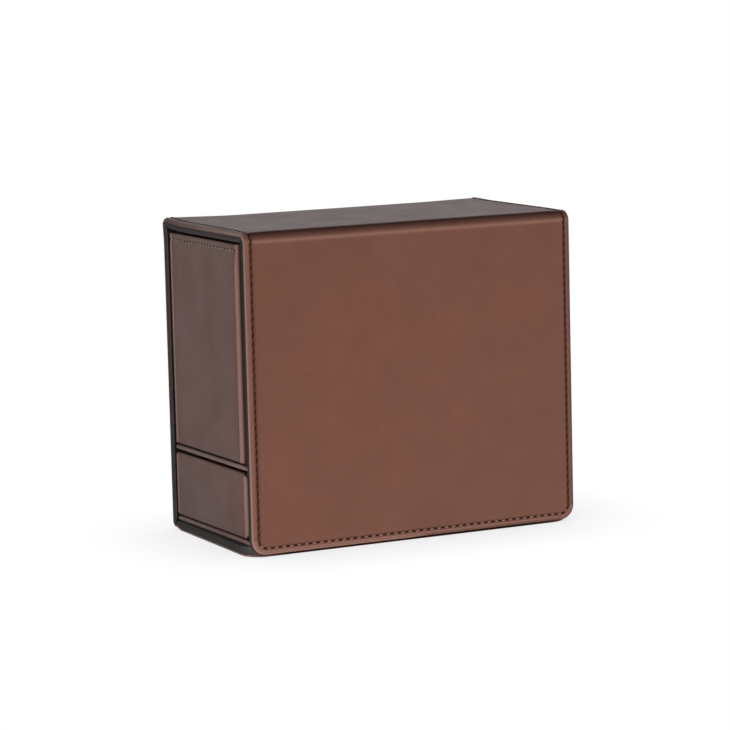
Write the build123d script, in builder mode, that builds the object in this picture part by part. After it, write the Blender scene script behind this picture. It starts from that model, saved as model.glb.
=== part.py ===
"""Trading card box with a flip lid and a drawer, in millimetres, +Z up.

The origin is under the middle of the box, on the surface that it stands on. X runs along the
box, with the drawer's face at -X. The flap hangs at -Y and the lid turns on the fold at +Y.

The cover is a wrap of leatherette outside and dark lined board inside: bottom, back, lid and
flap, with a soft fold between each two. Inside it stands a carcass with two card wells over a
shelf, and a drawer for dice and counters runs under the shelf.
"""
import os

from build123d import *

# Overall size of the closed box
box_width = 156.8
box_depth = 85.6
box_height = 138.0

# Layers of the cover
skin = 2.0
stiffener = 1.0
lining = 2.2
stiffener_margin = 5.5
edge_round = 0.8
widest_round = 0.9

# Folds of the cover, as the radius inside the skin
front_fold_inside = 2.6
rear_fold_inside = 0.6
bottom_fold_inside = 1.6
fold_relief = 0.3

# Flap, and the thin lip of the bottom that it hangs over
flap_corner = 6.5
flap_gap = 0.6
bottom_clearance = 0.3
bottom_lip = 0.6
bottom_lip_setback = 0.8
bottom_corner = 9.0

# Stitching, as a thread laid flush in a groove
stitch_inset = 2.9
thread_width = 0.8
thread_depth = 0.4

# Carcass
end_recess = 0.8
end_panel = 3.6
end_board = 1.2
end_round = 2.2
panel_setback = 5.0
drawer_setback = 2.2
face_corner = 0.6
back_groove = 0.9
drawer_groove = 0.4
wall_board = 1.6
facing = 0.8
back_wall_board = 2.4
partition_board = 2.4
partition_drop = 6.0
rim_gap = 1.0
thumb_notch = 13.0

# Shelf, drawer bay and drawer
shelf_board = 1.8
bay_height = 32.3
lip_round = 0.6
drawer_lift = 0.3
drawer_floor_board = 1.8
drawer_head_gap = 1.0
drawer_side_gap = 0.4
drawer_wall = 2.0
drawer_wall_drop = 1.5

# Soft liners of the wells and the drawer
liner = 0.8
liner_drop = 1.0

# Magnets that hold the flap shut
magnet_diameter = 10.0
magnet_thickness = 1.2
magnet_spacing = 104.0
magnet_height = 20.0

# Outer faces of the box
end_face = box_width / 2
back_face = box_depth / 2
front_face = -box_depth / 2
cover_wall = skin + lining

# Where the flat panels of the cover stop and the folds begin
front_fold_outside = front_fold_inside + skin
rear_fold_outside = rear_fold_inside + skin
bottom_fold_outside = bottom_fold_inside + skin
lid_front = front_face + front_fold_outside
lid_back = back_face - rear_fold_outside
flap_top = box_height - front_fold_outside
back_top = box_height - rear_fold_outside
bottom_back = back_face - bottom_fold_outside
bottom_front = front_face + cover_wall + bottom_clearance
bottom_edge = front_face + bottom_lip_setback
flap_lift = bottom_lip + bottom_clearance

# Inner faces of the lining
lining_back = back_face - cover_wall
lining_front = front_face + cover_wall
lining_top = box_height - cover_wall

# Carcass: walls stand on the bottom lining and end in a rim below the lid
carcass_front = lining_front + flap_gap
carcass_back = lining_back
rim = lining_top - rim_gap
outer_end = end_face - end_recess
wall_end = outer_end - end_panel
board_end = wall_end + end_board
panel_front = carcass_front + panel_setback
panel_back = carcass_back - back_groove
panel_depth = panel_back - panel_front
panel_middle = (panel_back + panel_front) / 2
lip_back = carcass_back - drawer_groove
lip_depth = lip_back - carcass_front
lip_middle = (lip_back + carcass_front) / 2
face_front = carcass_front + drawer_setback
face_depth = lip_back - face_front
face_middle = (lip_back + face_front) / 2
front_wall_face = carcass_front + facing
well_front = front_wall_face + wall_board
well_back = carcass_back - back_wall_board
well_depth = well_back - well_front
well_middle = (well_back + well_front) / 2
shelf_low = cover_wall + bay_height
shelf_top = shelf_low + shelf_board
well_length = wall_end - partition_board / 2
well_centre = (wall_end + partition_board / 2) / 2

# Drawer, shut
drawer_low = cover_wall + drawer_lift
drawer_floor = drawer_low + drawer_floor_board
drawer_rim = shelf_low - drawer_head_gap
drawer_wall_rim = drawer_rim - drawer_wall_drop
drawer_front = well_front + drawer_side_gap
drawer_back = well_back - drawer_side_gap
drawer_end = wall_end - drawer_side_gap
drawer_length = drawer_end + wall_end
drawer_depth = drawer_back - drawer_front
drawer_middle = (drawer_back + drawer_front) / 2

low = (Align.CENTER, Align.CENTER, Align.MIN)
low_front = (Align.CENTER, Align.MIN, Align.MIN)
low_back = (Align.CENTER, Align.MAX, Align.MIN)
low_left = (Align.MIN, Align.CENTER, Align.MIN)

# Rounded edges, none wider than its wall allows
soft_edge = min(edge_round, skin * widest_round)
bottom_soft_edge = min(edge_round, bottom_lip * widest_round)
panel_round = min(end_round, (end_panel - end_board) * widest_round)
face_round = min(end_round, end_panel * widest_round)
lip_edge = min(lip_round, shelf_board / 2 * widest_round, drawer_floor_board / 2 * widest_round)
lining_corner = min(bottom_fold_inside + fold_relief, lining * widest_round)

os.makedirs("parts", exist_ok=True)
finished = []


def finish(node, label):
    """Names a finished piece and writes it to its own file."""
    node.part.label = label
    export_step(node.part, f"parts/{label}.step")
    finished.append(label)


def bottom_outline(back):
    """The bottom's outline up to its back edge, with its front corners rounded like the flap's."""
    with BuildSketch() as outline:
        with Locations((0, bottom_edge)):
            Rectangle(box_width, back - bottom_edge, align=(Align.CENTER, Align.MIN))
        fillet(outline.vertices().group_by(Axis.Y)[0], bottom_corner)
    return outline.sketch


# Bottom of the cover, thinned to a lip under the flap
with BuildPart() as bottom_cover:
    with BuildSketch():
        add(bottom_outline(bottom_back))
    extrude(amount=skin)
    bottom_rim = bottom_cover.faces().sort_by(Axis.Z)[0].edges()
    fillet(bottom_rim - bottom_rim.filter_by(Axis.X).sort_by(Axis.Y)[-1:], bottom_soft_edge)
    with Locations((0, bottom_front, bottom_lip)):
        Box(box_width, bottom_front - bottom_edge, skin, align=low_back, mode=Mode.SUBTRACT)
    with Locations((0, bottom_front + stiffener_margin, skin - stiffener)):
        Box(
            box_width - 2 * stiffener_margin,
            bottom_back - bottom_front - 2 * stiffener_margin,
            stiffener,
            align=low_front,
            mode=Mode.SUBTRACT,
        )
finish(bottom_cover, "bottom_cover")

with BuildPart() as bottom_stiffener:
    with Locations((0, bottom_front + stiffener_margin, skin - stiffener)):
        Box(
            box_width - 2 * stiffener_margin,
            bottom_back - bottom_front - 2 * stiffener_margin,
            stiffener,
            align=low_front,
        )
finish(bottom_stiffener, "bottom_stiffener")

with BuildPart() as bottom_lining:
    with BuildSketch(Plane.XY.offset(skin)):
        add(bottom_outline(back_face - skin))
    extrude(amount=lining)
    with Locations((0, bottom_front, skin)):
        Box(box_width, bottom_front - bottom_edge, lining, align=low_back, mode=Mode.SUBTRACT)
    under_back = bottom_lining.edges().filter_by(Axis.X).group_by(Axis.Y)[-1].sort_by(Axis.Z)[0]
    fillet(under_back, lining_corner)
finish(bottom_lining, "bottom_lining")


def fold(inside, outside, middle_y, middle_z, towards):
    """A quarter ring along the whole box, bulging towards one corner of the box's end."""
    with BuildPart() as ring:
        with BuildSketch(Plane.YZ):
            with Locations((middle_y, middle_z)):
                Circle(outside)
                if inside > 0:
                    Circle(inside, mode=Mode.SUBTRACT)
                Rectangle(outside, outside, align=towards, mode=Mode.INTERSECT)
        extrude(amount=end_face, both=True)
    return ring


down_back = (Align.MIN, Align.MAX)
up_back = (Align.MIN, Align.MIN)
up_front = (Align.MAX, Align.MIN)

bottom_fold = fold(bottom_fold_inside, bottom_fold_outside, bottom_back, bottom_fold_outside, down_back)
finish(bottom_fold, "bottom_fold")

# Back of the cover
with BuildPart() as back_cover:
    with Locations((0, back_face - skin, bottom_fold_outside)):
        Box(box_width, skin, back_top - bottom_fold_outside, align=low_front)
    fillet(back_cover.edges().filter_by(Axis.Z).group_by(Axis.Y)[-1], soft_edge)
    with Locations((0, back_face - skin, bottom_fold_outside + stiffener_margin)):
        Box(
            box_width - 2 * stiffener_margin,
            stiffener,
            back_top - bottom_fold_outside - 2 * stiffener_margin,
            align=low_front,
            mode=Mode.SUBTRACT,
        )
    for side in (-1, 1):
        with Locations((side * (end_face - stitch_inset), back_face - thread_depth, bottom_fold_outside)):
            Box(
                thread_width,
                thread_depth,
                back_top - bottom_fold_outside,
                align=low_front,
                mode=Mode.SUBTRACT,
            )
finish(back_cover, "back_cover")

with BuildPart() as back_thread:
    for side in (-1, 1):
        with Locations((side * (end_face - stitch_inset), back_face - thread_depth, bottom_fold_outside)):
            Box(thread_width, thread_depth, back_top - bottom_fold_outside, align=low_front)
finish(back_thread, "back_thread")

with BuildPart() as back_stiffener:
    with Locations((0, back_face - skin, bottom_fold_outside + stiffener_margin)):
        Box(
            box_width - 2 * stiffener_margin,
            stiffener,
            back_top - bottom_fold_outside - 2 * stiffener_margin,
            align=low_front,
        )
finish(back_stiffener, "back_stiffener")

with BuildPart() as back_lining:
    with Locations((0, lining_back, cover_wall)):
        Box(box_width, lining, lining_top - cover_wall, align=low_front)
finish(back_lining, "back_lining")

# Lid, with the fold that it turns on
rear_fold = fold(rear_fold_inside, rear_fold_outside, lid_back, back_top, up_back)
finish(rear_fold, "rear_fold")

rear_fold_roll = fold(0, rear_fold_inside, lid_back, back_top, up_back)
finish(rear_fold_roll, "rear_fold_roll")

with BuildPart() as lid_cover:
    with Locations((0, lid_front, box_height - skin)):
        Box(box_width, lid_back - lid_front, skin, align=low_front)
    fillet(lid_cover.edges().filter_by(Axis.Y).group_by(Axis.Z)[-1], soft_edge)
    with Locations((0, lid_front + stiffener_margin, box_height - skin)):
        Box(
            box_width - 2 * stiffener_margin,
            lid_back - lid_front - 2 * stiffener_margin,
            stiffener,
            align=low_front,
            mode=Mode.SUBTRACT,
        )
    for side in (-1, 1):
        with Locations((side * (end_face - stitch_inset), lid_front, box_height - thread_depth)):
            Box(thread_width, lid_back - lid_front, thread_depth, align=low_front, mode=Mode.SUBTRACT)
finish(lid_cover, "lid_cover")

with BuildPart() as lid_thread:
    for side in (-1, 1):
        with Locations((side * (end_face - stitch_inset), lid_front, box_height - thread_depth)):
            Box(thread_width, lid_back - lid_front, thread_depth, align=low_front)
finish(lid_thread, "lid_thread")

with BuildPart() as lid_stiffener:
    with Locations((0, lid_front + stiffener_margin, box_height - skin)):
        Box(
            box_width - 2 * stiffener_margin,
            lid_back - lid_front - 2 * stiffener_margin,
            stiffener,
            align=low_front,
        )
finish(lid_stiffener, "lid_stiffener")

with BuildPart() as lid_lining:
    with Locations((0, lid_front, lining_top)):
        Box(box_width, lid_back - lid_front, lining, align=low_front)
finish(lid_lining, "lid_lining")

# Flap, with the soft fold along its top
front_fold = fold(front_fold_inside, front_fold_outside, lid_front, flap_top, up_front)
finish(front_fold, "front_fold")

front_fold_lining = fold(front_fold_inside - lining, front_fold_inside, lid_front, flap_top, up_front)
finish(front_fold_lining, "front_fold_lining")


def flap_outline(inset):
    """The flap's outline, drawn in from its sides and its lower edge."""
    with BuildSketch() as outline:
        with Locations((0, flap_top)):
            Rectangle(
                box_width - 2 * inset,
                flap_top - flap_lift - inset,
                align=(Align.CENTER, Align.MAX),
            )
        fillet(outline.vertices().group_by(Axis.Y)[0], flap_corner - inset)
    return outline.sketch


def thread_row():
    """The band that the flap's stitches fill, down both sides and along the lower edge."""
    with BuildSketch() as row:
        add(flap_outline(stitch_inset - thread_width / 2))
        add(flap_outline(stitch_inset + thread_width / 2), mode=Mode.SUBTRACT)
    return row.sketch


flap_plane = Plane.XZ.offset(-front_face)
flap_seam_plane = Plane.XZ.offset(-front_face - skin)

with BuildPart() as flap_cover:
    with BuildSketch(flap_plane):
        add(flap_outline(0))
    extrude(amount=-skin)
    flap_rim = flap_cover.faces().sort_by(Axis.Y)[0].edges()
    fillet(flap_rim - flap_rim.filter_by(Axis.X).sort_by(Axis.Z)[-1:], soft_edge)
    with BuildSketch(flap_plane):
        add(thread_row())
    extrude(amount=-thread_depth, mode=Mode.SUBTRACT)
    with Locations((0, front_face + skin - stiffener, flap_lift + stiffener_margin)):
        Box(
            box_width - 2 * stiffener_margin,
            stiffener,
            flap_top - flap_lift - 2 * stiffener_margin,
            align=low_front,
            mode=Mode.SUBTRACT,
        )
finish(flap_cover, "flap_cover")

with BuildPart() as flap_thread:
    with BuildSketch(flap_plane):
        add(thread_row())
    extrude(amount=-thread_depth)
finish(flap_thread, "flap_thread")

with BuildPart() as flap_stiffener:
    with Locations((0, front_face + skin - stiffener, flap_lift + stiffener_margin)):
        Box(
            box_width - 2 * stiffener_margin,
            stiffener,
            flap_top - flap_lift - 2 * stiffener_margin,
            align=low_front,
        )
finish(flap_stiffener, "flap_stiffener")

magnet_places = [(side * magnet_spacing / 2, magnet_height) for side in (-1, 1)]

with BuildPart() as flap_lining:
    with BuildSketch(flap_seam_plane):
        add(flap_outline(0))
    extrude(amount=-lining)
    with BuildSketch(flap_seam_plane):
        with Locations(*magnet_places):
            Circle(magnet_diameter / 2)
    extrude(amount=-magnet_thickness, mode=Mode.SUBTRACT)
finish(flap_lining, "flap_lining")

with BuildPart() as flap_magnets:
    with BuildSketch(flap_seam_plane):
        with Locations(*magnet_places):
            Circle(magnet_diameter / 2)
    extrude(amount=-magnet_thickness)
finish(flap_magnets, "flap_magnets")

# Front wall of the carcass, with thumb notches and the magnets' pockets behind its facing
facing_plane = Plane.XZ.offset(-carcass_front)
wall_plane = Plane.XZ.offset(-front_wall_face)


def wall_outline():
    """The front wall's outline, with one thumb notch over each well."""
    with BuildSketch() as outline:
        with Locations((0, cover_wall)):
            Rectangle(2 * wall_end, rim - cover_wall, align=(Align.CENTER, Align.MIN))
        with Locations((-well_centre, rim), (well_centre, rim)):
            Circle(thumb_notch, mode=Mode.SUBTRACT)
    return outline.sketch


with BuildPart() as front_facing:
    with BuildSketch(facing_plane):
        add(wall_outline())
    extrude(amount=-facing)
finish(front_facing, "front_facing")

with BuildPart() as front_wall:
    with BuildSketch(wall_plane):
        add(wall_outline())
    extrude(amount=-wall_board)
    with BuildSketch(wall_plane):
        with Locations(*magnet_places):
            Circle(magnet_diameter / 2)
    extrude(amount=-magnet_thickness, mode=Mode.SUBTRACT)
finish(front_wall, "front_wall")

with BuildPart() as wall_magnets:
    with BuildSketch(wall_plane):
        with Locations(*magnet_places):
            Circle(magnet_diameter / 2)
    extrude(amount=-magnet_thickness)
finish(wall_magnets, "wall_magnets")

with BuildPart() as back_wall:
    with Locations((0, well_back, cover_wall)):
        Box(2 * wall_end, back_wall_board, rim - cover_wall, align=low_front)
finish(back_wall, "back_wall")

# Shelf, and at each end the wrapped lip that closes it and the padded panel over a board
with BuildPart() as shelf:
    with Locations((0, well_front, shelf_low)):
        Box(2 * wall_end, well_depth, shelf_board, align=low_front)
finish(shelf, "shelf")

for side, name in ((-1, "left"), (1, "right")):
    with BuildPart() as shelf_lip:
        with Locations((side * (wall_end + outer_end) / 2, lip_middle, shelf_low)):
            Box(end_panel, lip_depth, shelf_board, align=low)
        lip_face = shelf_lip.faces().sort_by(Axis.X)[0 if side < 0 else -1]
        fillet(lip_face.edges(), lip_edge)
    finish(shelf_lip, f"{name}_shelf_lip")

    with BuildPart() as end_wall:
        with Locations((side * (wall_end + board_end) / 2, carcass_front, shelf_top)):
            Box(end_board, carcass_back - carcass_front, rim - shelf_top, align=low_front)
    finish(end_wall, f"{name}_end_board")

    with BuildPart() as upper_end:
        with Locations((side * (board_end + outer_end) / 2, panel_middle, shelf_top)):
            Box(end_panel - end_board, panel_depth, rim - shelf_top, align=low)
        upper_face = upper_end.faces().sort_by(Axis.X)[0 if side < 0 else -1]
        fillet(upper_face.edges(), panel_round)
        with Locations((side * outer_end, panel_middle, rim - stitch_inset)):
            Box(
                2 * thread_depth,
                panel_depth - 2 * panel_round,
                thread_width,
                mode=Mode.SUBTRACT,
            )
    finish(upper_end, f"{name}_end_panel")

    with BuildPart() as rim_thread:
        with Locations((side * (outer_end - thread_depth / 2), panel_middle, rim - stitch_inset)):
            Box(thread_depth, panel_depth - 2 * panel_round, thread_width)
    finish(rim_thread, f"{name}_rim_thread")

with BuildPart() as bay_end:
    with Locations(((wall_end + outer_end) / 2, face_middle, cover_wall)):
        Box(end_panel, face_depth, bay_height, align=low)
    fillet(bay_end.edges().filter_by(Axis.X), face_round + face_corner)
    fillet(bay_end.faces().sort_by(Axis.X)[-1].edges(), face_round)
finish(bay_end, "bay_end_panel")

with BuildPart() as partition:
    with Locations((0, well_middle, shelf_top)):
        Box(partition_board, well_depth, rim - partition_drop - shelf_top, align=low)
finish(partition, "partition")

# Soft liner of each well, open at the top and notched with the front wall
for side, name in ((-1, "left"), (1, "right")):
    with BuildPart() as well_liner:
        with Locations((side * well_centre, well_middle, shelf_top)):
            Box(well_length, well_depth, rim - liner_drop - shelf_top, align=low)
        with Locations((side * well_centre, well_middle, shelf_top + liner)):
            Box(
                well_length - 2 * liner,
                well_depth - 2 * liner,
                rim - shelf_top,
                align=low,
                mode=Mode.SUBTRACT,
            )
        if partition_drop > liner_drop:
            with Locations((side * partition_board / 2, well_middle, rim - partition_drop)):
                Box(2 * liner, well_depth, partition_drop, align=low, mode=Mode.SUBTRACT)
        with BuildSketch(Plane.XZ.offset(-well_front)):
            with Locations((side * well_centre, rim)):
                Circle(thumb_notch)
        extrude(amount=-liner, mode=Mode.SUBTRACT)
    finish(well_liner, f"{name}_well_liner")

# Drawer
with BuildPart() as drawer_base:
    with Locations((-wall_end, drawer_middle, drawer_low)):
        Box(drawer_length, drawer_depth, drawer_floor_board, align=low_left)
finish(drawer_base, "drawer_floor")

with BuildPart() as drawer_lip:
    with Locations((-(wall_end + outer_end) / 2, lip_middle, drawer_low)):
        Box(end_panel, lip_depth, drawer_floor_board, align=low)
    fillet(drawer_lip.faces().sort_by(Axis.X)[0].edges(), lip_edge)
finish(drawer_lip, "drawer_lip")

with BuildPart() as drawer_face:
    with Locations((-(wall_end + outer_end) / 2, face_middle, drawer_floor)):
        Box(end_panel, face_depth, drawer_rim - drawer_floor, align=low)
    fillet(drawer_face.edges().filter_by(Axis.X), face_round + face_corner)
    fillet(drawer_face.faces().sort_by(Axis.X)[0].edges(), face_round)
finish(drawer_face, "drawer_face")

drawer_wall_height = drawer_wall_rim - drawer_floor

for side, name in ((-1, "front"), (1, "back")):
    with BuildPart() as drawer_side:
        wall_y = drawer_middle + side * (drawer_depth - drawer_wall) / 2
        with Locations((-wall_end, wall_y, drawer_floor)):
            Box(drawer_length, drawer_wall, drawer_wall_height, align=low_left)
    finish(drawer_side, f"drawer_{name}_wall")

with BuildPart() as drawer_tail:
    with Locations((drawer_end - drawer_wall, drawer_middle, drawer_floor)):
        Box(drawer_wall, drawer_depth - 2 * drawer_wall, drawer_wall_height, align=low_left)
finish(drawer_tail, "drawer_end_wall")

liner_length = drawer_length - drawer_wall
liner_depth = drawer_depth - 2 * drawer_wall
liner_height = drawer_wall_height - liner_drop

with BuildPart() as drawer_liner:
    with Locations((-wall_end, drawer_middle, drawer_floor)):
        Box(liner_length, liner_depth, liner_height, align=low_left)
    with Locations((-wall_end + liner, drawer_middle, drawer_floor + liner)):
        Box(
            liner_length - 2 * liner,
            liner_depth - 2 * liner,
            liner_height,
            align=low_left,
            mode=Mode.SUBTRACT,
        )
finish(drawer_liner, "drawer_liner")

print(len(finished), "pieces written")
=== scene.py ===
# %% [markdown]
# # A trading card box in leatherette
# The box is one long strip of leatherette, lined with dark cloth and folded round a carcass: flap,
# lid, back and bottom. Two card wells sit over a shelf, and a drawer slides out under it at the
# left end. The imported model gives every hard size, so this script starts from it and dresses it.

# %% Load the frame
import math

import bmesh
import bpy
from mathutils import Matrix, Vector, noise


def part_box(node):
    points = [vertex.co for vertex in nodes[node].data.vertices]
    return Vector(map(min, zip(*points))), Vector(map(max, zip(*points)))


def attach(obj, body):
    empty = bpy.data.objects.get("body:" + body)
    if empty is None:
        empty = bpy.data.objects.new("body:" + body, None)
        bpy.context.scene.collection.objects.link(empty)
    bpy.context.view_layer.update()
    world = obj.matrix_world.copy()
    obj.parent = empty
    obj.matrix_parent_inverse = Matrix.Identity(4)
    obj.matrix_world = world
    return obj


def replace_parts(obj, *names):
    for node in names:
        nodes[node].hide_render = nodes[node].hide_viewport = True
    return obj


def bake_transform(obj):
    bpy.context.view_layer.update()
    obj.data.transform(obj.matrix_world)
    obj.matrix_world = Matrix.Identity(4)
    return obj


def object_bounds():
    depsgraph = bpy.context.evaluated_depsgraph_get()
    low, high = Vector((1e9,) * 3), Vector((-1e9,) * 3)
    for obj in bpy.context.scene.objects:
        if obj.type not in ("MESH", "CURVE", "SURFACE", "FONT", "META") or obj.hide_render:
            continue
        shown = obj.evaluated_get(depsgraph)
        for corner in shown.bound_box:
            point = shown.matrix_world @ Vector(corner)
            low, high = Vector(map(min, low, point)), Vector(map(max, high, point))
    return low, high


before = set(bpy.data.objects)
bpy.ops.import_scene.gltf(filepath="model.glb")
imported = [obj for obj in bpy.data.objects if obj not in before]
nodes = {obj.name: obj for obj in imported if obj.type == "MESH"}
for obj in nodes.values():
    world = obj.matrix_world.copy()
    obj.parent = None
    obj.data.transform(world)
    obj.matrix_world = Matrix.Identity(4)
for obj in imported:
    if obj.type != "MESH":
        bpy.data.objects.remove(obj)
cad_low, cad_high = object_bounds()
MM = 0.001
print("frame:", len(nodes), "nodes, box", [round(side / MM, 1) for side in cad_high - cad_low], "mm")

# %% [markdown]
# ## Measure the strip
# The real cover is cut flat and folded afterwards. The same is done here: the strip is drawn flat,
# with its width along X and its length as a distance from the flap's lower edge, and is wrapped
# last. All that the wrap needs is the length of each straight run and the radius of each fold.

# %% Read the runs and folds of the strip from the frame
flap_low, flap_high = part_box("flap_cover")
lid_low, lid_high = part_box("lid_cover")
back_low, back_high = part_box("back_cover")
bottom_low, bottom_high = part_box("bottom_cover")
lining_low, lining_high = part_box("flap_lining")
inner_bottom_low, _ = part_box("bottom_lining")

half_width = flap_high.x
skin = flap_high.y - flap_low.y
lining = lining_high.y - lining_low.y
front_radius = lid_low.y - flap_low.y
rear_radius = back_high.y - lid_high.y
bottom_radius = back_high.y - bottom_high.y
lip_length = inner_bottom_low.y - bottom_low.y
QUARTER = math.pi / 2

wrap_runs = (
    ("flap", flap_high.z - flap_low.z, None),
    ("front fold", QUARTER * front_radius, front_radius),
    ("lid", lid_high.y - lid_low.y, None),
    ("rear fold", QUARTER * rear_radius, rear_radius),
    ("back", back_high.z - back_low.z, None),
    ("bottom fold", QUARTER * bottom_radius, bottom_radius),
    ("bottom", bottom_high.y - bottom_low.y, None),
)
begins = {}
strip_length = 0.0
for run_name, run_length, _ in wrap_runs:
    begins[run_name] = strip_length
    strip_length += run_length
print("strip:", round(strip_length / MM, 1), "mm long,", round(2 * half_width / MM, 1), "mm wide")

# %% [markdown]
# A point of the flat strip is carried along the runs like a car along a road: straight on a panel,
# round a centre on a fold. Its lift above the outer face goes along the road's normal, so a
# thickness stays the same all the way round. A sewn box is never quite true: the bottom runs a
# little askew, its rear edge is drawn up, and the two rear corners stand up at the doubled fold.

# %% Carry a point of the flat strip to its place on the box
BOTTOM_SKEW = 1.6 * MM
CORNER_LIFT = {-1: 0.8 * MM, 1: 0.3 * MM}
CORNER_ACROSS = 34.0 * MM
CORNER_ALONG = 16.0 * MM
HEEL_RISE = 0.9 * MM
HEEL_REACH = 5.5 * MM


def smooth(value, low, high):
    """A soft step from 0 at low to 1 at high."""
    share = min(max((value - low) / (high - low), 0.0), 1.0)
    return share * share * (3 - 2 * share)


def corner_lift(x, travel):
    """How far the strip stands up near a rear corner."""
    along = max(begins["rear fold"] - travel, 2 * (travel - begins["back"]), 0.0)
    near = 1 - smooth(along, 0, CORNER_ALONG)
    return CORNER_LIFT[1 if x > 0 else -1] * near * (1 - smooth(half_width - abs(x), 0, CORNER_ACROSS))


def heel_rise(travel):
    """How far the strip is drawn in where the bottom meets its rear fold."""
    return HEEL_RISE * (1 - smooth(abs(travel - begins["bottom"]), 0, HEEL_REACH))


def wrap_point(x, travel, lift):
    """Where a point of the flat strip lies once the strip is folded round the box."""
    lift += corner_lift(x, travel) - heel_rise(travel)
    x -= BOTTOM_SKEW * min(max((travel - begins["bottom"]) / (strip_length - begins["bottom"]), 0), 1)
    y, z, heading = flap_low.y, flap_low.z, QUARTER
    for _, length, radius in wrap_runs:
        step = min(travel, length)
        if radius is None:
            y += step * math.cos(heading)
            z += step * math.sin(heading)
        else:
            centre_y = y + radius * math.sin(heading)
            centre_z = z - radius * math.cos(heading)
            heading -= step / radius
            y = centre_y - radius * math.sin(heading)
            z = centre_z + radius * math.cos(heading)
        travel -= step
        if travel <= 0:
            break
    return Vector((x, y - lift * math.sin(heading), z + lift * math.cos(heading)))


print("strip ends at", [round(value / MM, 1) for value in wrap_point(0, strip_length, 0)], "mm")

# %% [markdown]
# ## Grain, patina and nap
# Leatherette shows three things at once: a slow drift of tone across a panel, a fine grain pressed
# into the surface, and paler rims, which are painted highlight carried by an attribute on the
# points. The drift, the grain and the lining's nap are node groups, so every material that needs one
# can take it with its own scale.

# %% Helpers that add nodes to a tree


def feed(tree, socket, value):
    """Gives a socket a value, or a link when the value is a socket itself."""
    if isinstance(value, bpy.types.NodeSocket):
        tree.links.new(value, socket)
    else:
        socket.default_value = value


def add_node(tree, kind, **settings):
    """Adds a node; a setting that isn't one of its properties feeds an input."""
    node = tree.nodes.new("ShaderNode" + kind)
    for key, value in settings.items():
        if key in node.bl_rna.properties:
            setattr(node, key, value)
        else:
            feed(tree, node.inputs[key.replace("_", " ")], value)
    return node


def new_group(name, inputs, outputs):
    """A shader node group with named float inputs and outputs."""
    tree = bpy.data.node_groups.new(name, "ShaderNodeTree")
    for label, value in inputs.items():
        socket = tree.interface.new_socket(label, in_out="INPUT", socket_type="NodeSocketFloat")
        socket.default_value = value
    for label in outputs:
        tree.interface.new_socket(label, in_out="OUTPUT", socket_type="NodeSocketFloat")
    return tree, tree.nodes.new("NodeGroupInput"), tree.nodes.new("NodeGroupOutput")


def use_group(tree, group, **values):
    """Places a group in a material with its own values."""
    node = tree.nodes.new("ShaderNodeGroup")
    node.node_tree = group
    for key, value in values.items():
        node.inputs[key].default_value = value
    return node


def blend_colours(tree, factor, first, second):
    """A colour between two, by a varying factor socket; either one is a colour or a socket."""
    mix = add_node(tree, "Mix", data_type="RGBA")
    tree.links.new(factor, mix.inputs[0])
    for socket, colour in ((mix.inputs[6], first), (mix.inputs[7], second)):
        feed(tree, socket, (*colour, 1) if isinstance(colour, tuple) else colour)
    return mix.outputs[2]


def spread(tree, value, low, high, to_low, to_high):
    """Maps a varying value from one range to another, clamped."""
    limits = {"From_Min": low, "From_Max": high, "To_Min": to_low, "To_Max": to_high}
    return add_node(tree, "MapRange", Value=value, **limits).outputs["Result"]


def calculate(tree, operation, *values):
    """The result of an arithmetic node on values that are numbers or sockets."""
    node = add_node(tree, "Math", operation=operation)
    for socket, value in zip(node.inputs, values):
        feed(tree, socket, value)
    return node.outputs[0]


# %% Patina, the slow drift of tone
PATINA_LAYERS = (("Drift", 1.0, 2.0), ("Cloud", 6.0, 5.0), ("Fleck", 60.0, 2.0))
layer_names = [layer[0] for layer in PATINA_LAYERS]
patina, patina_in, patina_out = new_group("patina", {"Scale": 20.0}, layer_names)
patina_place = add_node(patina, "TexCoord").outputs["Object"]
for layer, finer, detail in PATINA_LAYERS:
    patina_scale = calculate(patina, "MULTIPLY", patina_in.outputs["Scale"], finer)
    patina_noise = add_node(patina, "TexNoise", Detail=detail, Roughness=0.55, Distortion=0.2)
    feed(patina, patina_noise.inputs["Vector"], patina_place)
    feed(patina, patina_noise.inputs["Scale"], patina_scale)
    patina.links.new(spread(patina, patina_noise.outputs[0], 0.3, 0.7, 0, 1), patina_out.inputs[layer])
print("group:", patina.name, "with", len(PATINA_LAYERS), "layers")

# %% Grain, the pressed pebbles and pores of leatherette
grain, grain_in, grain_out = new_group("leather grain", {"Scale": 1500.0}, ("Height", "Pore"))
grain_place = add_node(grain, "TexCoord").outputs["Object"]
grain_warp = add_node(grain, "TexNoise", Vector=grain_place, Scale=420.0, Detail=2.0)
grain_shift = add_node(grain, "VectorMath", operation="SCALE", Scale=0.0009)
grain_sum = add_node(grain, "VectorMath", operation="ADD")
grain.links.new(grain_warp.outputs["Color"], grain_shift.inputs[0])
grain.links.new(grain_place, grain_sum.inputs[0])
grain.links.new(grain_shift.outputs[0], grain_sum.inputs[1])
grain_feeds = {"Vector": grain_sum.outputs[0], "Scale": grain_in.outputs["Scale"]}
grain_cells = add_node(grain, "TexVoronoi", feature="SMOOTH_F1", Smoothness=0.6, **grain_feeds)
grain_edges = add_node(grain, "TexVoronoi", feature="DISTANCE_TO_EDGE", **grain_feeds)
for grain_cut, grain_far, label in ((grain_cells, 0.8, "Height"), (grain_edges, 0.12, "Pore")):
    grain_level = spread(grain, grain_cut.outputs["Distance"], 0.0, grain_far, 1, 0)
    grain.links.new(grain_level, grain_out.inputs[label])
print("group:", grain.name)

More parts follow.
